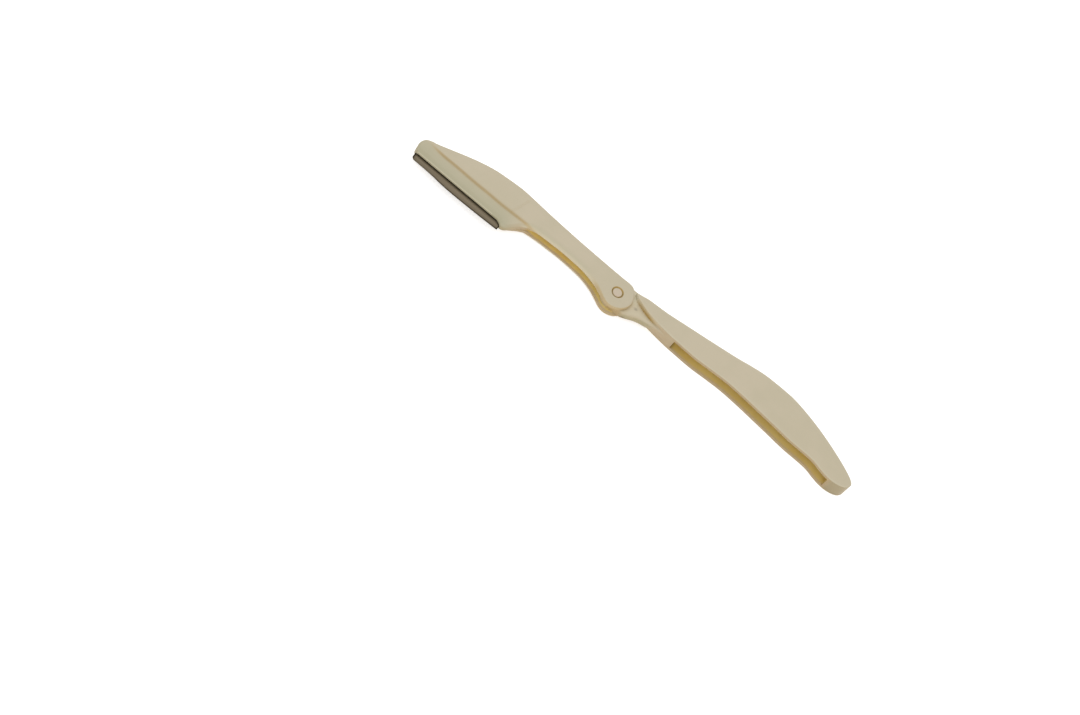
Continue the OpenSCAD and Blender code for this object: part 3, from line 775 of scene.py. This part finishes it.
# Each tint is a hump or a rise in the distance from a line or an edge, and all are painted light and shade:
# painted warm shade in the crease beside the plate and in the mould line's grooves, painted olive shade that
# grows from the crease to the lip and along the rounding under the neck, a painted highlight along the lip,
# painted warm shade round the hub, painted shade on lower faces, painted light on the cheeks' shaded lower
# faces, and a painted golden glow that grows with depth in the hollow
def tintArm(piece):
    tint = armTint
    x, y, z = pointsOf(piece)
    height = np.abs(z)
    crease, lipY = heightOf(creaseLine, x), lipHeight(x)
    # Painted warm shade along the crease
    line = hump(y - crease + tint["lineShift"], tint["lineWidth"]) * (height > tint["lineRise"])
    line = line * rise(x, *tint["lineOver"]) * rise(x, *tint["lineEnd"])
    # A darker painted shade in the crease along the middle of the head
    mark = tint["lineMark"] * line * rise(x, *tint["markOver"]) * rise(x, *tint["markEnd"])
    # Painted shade in the mould line's two grooves
    line = tint["line"] * line + tint["mould"] * nearMouldLine(x, y) * (height > tint["mouldRise"])
    # Painted shade on the strip, which leans away from the light
    share = np.clip((crease - y) / np.maximum(crease - lipY, tint["shadeLeast"]), 0, 1)
    shade = np.interp(share, [0, 1], tint["shade"]) * rise(crease - y, *tint["shadeOver"])
    shade = shade * rise(x, *tint["shadeEnd"])
    above = y - heightOf(armLow, x)
    # Painted shade along the rounding under the neck
    soft = tint["soft"] * hump(above - tint["softAbove"], tint["softWidth"]) * (height > tint["softRise"])
    soft = soft * rise(x, *tint["softOver"]) * rise(x, *tint["softEnd"])
    # A painted highlight along the lip's edge
    lip = tint["lip"] * hump(y - lipY - tint["lipAbove"], tint["lipWidth"])
    lip = lip * (x < lipHeel[0]) * (height > arm["grooveHalf"])
    # Painted warm shade on the cheeks' lower faces near the hub
    gold = tint["gold"] * hump(above, tint["goldWidth"]) * rise(x, *tint["goldOver"])
    gold = gold * (height < arm["thickness"] / 2 - tint["goldSink"]) * (height > tint["goldRise"])
    # Painted warm shade round the hub's edge
    rim = tint["rim"] * hump(np.hypot(x, y) - arm["hubRadius"], tint["rimWidth"])
    gold = np.maximum(gold, rim * (x > tint["rimStart"]) * (y < tint["rimTop"]))
    # Painted shade on faces that face down near the lower outline
    under = facingLow(piece) * (above < tint["underTop"])
    # Painted light on the cheeks' shaded lower faces in the neck
    cheek = under * (height > arm["cheekGap"] / 2 - tint["cheekRim"]) * rise(x, *tint["cheekOver"])
    # How deep a point lies in the hollow, for its painted golden glow
    inner = rise(x, *tint["innerOver"]) * np.interp(rise(x, *tint["innerEnd"]), [0, 1], tint["inner"])
    start, full = tint["depthOver"]
    depth = (above - start) / (full - start) * inner
    setValues(piece, crease=line + gold, mark=mark, pale=lip + cheek, shade=shade + soft, blush=under,
              depth=depth)


armShell = makeArm()
combine(armShell, [makeHollow(), makePinHole(), makeRecess()])
shadeSmooth(armShell)
tintArm(armShell)
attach(armShell, "arm")
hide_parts("blade_arm")
print("arm made:", len(armShell.data.polygons), "faces")

# Ground steel with painted shade and reflection: a near-black painted shadow along the lip and at its ends,
# and a darker painted reflection along the cutting edge
steelLook = {
    "face": (114, 103, 85), "other": (101, 92, 75), "dark": (10, 7, 3), "edge": (74, 64, 48),
    "streak": (900.0, 4.0, 0.6, (0.03, 1.0, 1.0)), "streakRange": (0.3, 0.7), "streakDepth": 0.000003,
    "roughness": 0.36, "streakRough": 0.15, "metallic": 0.8,
}


# Two tones of steel mixed by noise that is stretched along the blade, then the edge's painted reflection and
# the painted shadow, which also makes the steel fully metallic there
def groundSteel():
    look = Look("bladeSteel")
    streak = look.noise(*steelLook["streak"])
    share = streak.between(*steelLook["streakRange"])
    colour = look.mix(share, seen(*steelLook["face"]), seen(*steelLook["other"]))
    for tint in ("edge", "dark"):
        colour = look.mix(look.attribute(tint), colour, seen(*steelLook[tint]))
    rough = steelLook["roughness"] + steelLook["streakRough"] * (streak - 0.5)
    metal = steelLook["metallic"] + (1 - steelLook["metallic"]) * look.attribute("dark")
    bump = look.bump(streak, steelLook["streakDepth"])
    return look.finish(Base_Color=colour, Metallic=metal, Roughness=rough, Normal=bump)


# The blade: a thin strip along the lip, with a rounded free corner. Its thickness grows evenly from the land
# at the cutting edge to the full one across the bevel.
def makeBlade(material):
    start = blade["inset"] - lipLength
    u = stations(start, start + blade["length"], blade["columns"], blade["crowd"])
    corner = np.clip(1 - (u - start) / blade["chamfer"], 0, 1)
    belly = heightOf(smoothLine(blade["belly"]), (u - start) / blade["length"])
    low = blade["chamfer"] * (1 - np.sqrt(1 - corner**2)) - blade["show"] - belly
    high = np.full(len(u), blade["tang"])
    rails = [low + blade["bevel"], 0 * u - blade["darkBand"], 0 * u]
    v = rowsAcross(low, high, rails, blade["rows"], blade["rim"], blade["rimRows"])
    u = np.repeat(u[:, None], v.shape[1], 1)
    upBevel = np.clip((v - low[:, None]) / blade["bevel"], 0, 1)
    z = (blade["land"] + (blade["thickness"] - blade["land"]) * upBevel) / 2
    place = lipHeel + u[..., None] * lipWay + v[..., None] * lipUp
    piece = makeMesh("razor_blade", fieldShell(place[..., 0], place[..., 1], z), material)
    x, y, _ = pointsOf(piece)
    fromHeel = np.column_stack([x, y]) - lipHeel
    u, v = fromHeel @ lipWay, fromHeel @ lipUp
    belly = heightOf(smoothLine(blade["belly"]), (u - start) / blade["length"])
    # Painted dark reflection along the cutting edge's bevel, weaker near the free end
    edge = ease((blade["edgeBand"] - v - blade["show"] - belly) / blade["edgeFade"])
    edge = edge * (blade["edgeLeast"] + (1 - blade["edgeLeast"]) * rise(u - start, *blade["edgeOver"]))
    # Painted shadow under the lip and at both ends of the blade
    tipBand, heelBand = blade["endBands"]
    ends = hump(u - start, tipBand) + hump(u - start - blade["length"], heelBand)
    dark = ease(v / blade["darkBand"]) + ends
    setValues(piece, edge=edge, dark=dark)
    return piece


razorBlade = makeBlade(groundSteel())
shadeSmooth(razorBlade, corner=20)
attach(razorBlade, "arm")
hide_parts("blade")
print("blade made:", len(razorBlade.data.polygons), "faces")

# The pivot pin, with rounded ends that sit a little below the hub's faces, and a darker rim that is painted
# shade from the gap round it
pin = {
    "radius": 1.5, "half": 2.5, "round": 0.16, "rings": (1.2, 0.8, 0.4), "disc": (204, 184, 166),
    "rim": (190, 172, 136), "rimOver": (1.25, 1.45), "mottle": (400.0, 3.0), "mottleRange": (0.3, 0.7),
    "roughness": 0.45, "grainRough": 0.1, "roundSteps": 7,
}


# A profile turned about the axis: a quarter circle at each end's edge, then rings in to its middle
def makePin():
    angle = np.linspace(0, np.pi / 2, pin["roundSteps"])
    radii = np.append(pin["radius"] - pin["round"] * (1 - np.cos(angle)), pin["rings"])
    heights = np.append(pin["half"] - pin["round"] * (1 - np.sin(angle)), [pin["half"]] * len(pin["rings"]))
    shape = lathe([*radii[::-1], *radii], [*-heights[::-1], *heights])
    look = Look("pinPlastic")
    mottle, grain = look.noise(*pin["mottle"]), look.noise(*plasticLook["grain"])
    share = mottle.between(*pin["mottleRange"])
    colour = look.mix(share, seen(*pin["disc"]), seen(*plasticLook["other"]))
    # Painted shade at the pin's edge, by the gap round it
    colour = look.mix(look.attribute("rim"), colour, seen(*pin["rim"]))
    rough = pin["roughness"] + pin["grainRough"] * grain
    bump = look.bump(grain, plasticLook["grainDepth"])
    piece = makeMesh("hinge_pin", shape, look.finish(Base_Color=colour, Roughness=rough, Normal=bump))
    x, y, _ = pointsOf(piece)
    setValues(piece, rim=rise(np.hypot(x, y), *pin["rimOver"]))
    return piece


hingePin = makePin()
shadeSmooth(hingePin)
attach(hingePin, "grip")
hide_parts("pivot_pin")
print("pin made:", len(hingePin.data.polygons), "faces")

# The camera looks from the blade's side at the photograph's tilt, rolled so that the razor slopes down
view = {
    "tilt": 56.0, "roll": 38.9, "distance": 0.783, "pixelSize": 0.290, "width": 1080, "sensor": 36.0,
    "pivotPixel": (617.7, 292.2), "centrePixel": (540.0, 357.5), "hubTop": 0.0026,
}


def placeCamera():
    tilt, roll, pixel = math.radians(view["tilt"]), math.radians(view["roll"]), view["pixelSize"] * mm
    right = Vector((1, 0, 0))
    up = Vector((0, math.sin(tilt), math.cos(tilt)))
    into = Vector((0, math.cos(tilt), -math.sin(tilt)))
    across = right * math.cos(roll) + up * math.sin(roll)
    upward = up * math.cos(roll) - right * math.sin(roll)
    offX = (view["centrePixel"][0] - view["pivotPixel"][0]) * pixel
    offY = (view["pivotPixel"][1] - view["centrePixel"][1]) * pixel
    aim = Vector(pivot) + Vector((0, 0, view["hubTop"])) + across * offX + upward * offY
    data = bpy.data.cameras.new("camera")
    data.sensor_width = view["sensor"]
    data.lens = view["distance"] * view["sensor"] / (view["width"] * pixel)
    camera = bpy.data.objects.new("camera", data)
    bpy.context.scene.collection.objects.link(camera)
    turned = Matrix((across, upward, -into)).transposed().to_4x4()
    camera.matrix_world = Matrix.Translation(aim - into * view["distance"]) @ turned
    bpy.context.scene.camera = camera


# A pale floor that shows white to the camera with the razor's soft shadow on it, under a soft white sky
studio = {
    "floorSize": 6.0, "floorColour": (228, 206, 178), "floorRough": 0.9, "glow": 0.5, "sky": 0.72,
    "lamps": [["key", (-0.25, 0.55, 0.9), 1.7, 0.8], ["fill", (0.3, -0.7, 0.6), 2.4, 0.8]],
}


def makeStudio():
    edge = studio["floorSize"] / 2
    mesh = bpy.data.meshes.new("floor")
    corners = [(-edge, -edge, 0), (edge, -edge, 0), (edge, edge, 0), (-edge, edge, 0)]
    mesh.from_pydata(corners, [], [(0, 1, 2, 3)])
    floor = bpy.data.objects.new("floor", mesh)
    bpy.context.scene.collection.objects.link(floor)
    look = Look("floorLook")
    rays = [look.node("ShaderNodeLightPath", output=name) for name in ("Is Camera Ray", "Is Glossy Ray")]
    shown = rays[0].maths("MAXIMUM", *rays)
    colour = look.mix(shown, seen(*studio["floorColour"]), (1.0, 1.0, 1.0, 1.0))
    glow = look.mix(shown, (0.0, 0.0, 0.0, 1.0), (studio["glow"],) * 3 + (1.0,))
    rough = studio["floorRough"]
    look.finish(Base_Color=colour, Roughness=rough, Emission_Color=glow, Emission_Strength=1.0)
    mesh.materials.append(look.material)
    world = bpy.data.worlds.new("studio")
    bpy.context.scene.world = world
    world.use_nodes = True
    sky = world.node_tree.nodes["Background"]
    sky.inputs["Color"].default_value = (1.0, 1.0, 1.0, 1.0)
    sky.inputs["Strength"].default_value = studio["sky"]
    for name, place, power, size in studio["lamps"]:
        data = bpy.data.lights.new(name, "AREA")
        data.energy, data.size = power, size
        lamp = bpy.data.objects.new(name, data)
        lamp.location = place
        lamp.rotation_euler = (-Vector(place)).to_track_quat("-Z", "Y").to_euler()
        bpy.context.scene.collection.objects.link(lamp)


placeCamera()
makeStudio()
bpy.context.scene.view_settings.view_transform = "Standard"
print("camera and studio made")
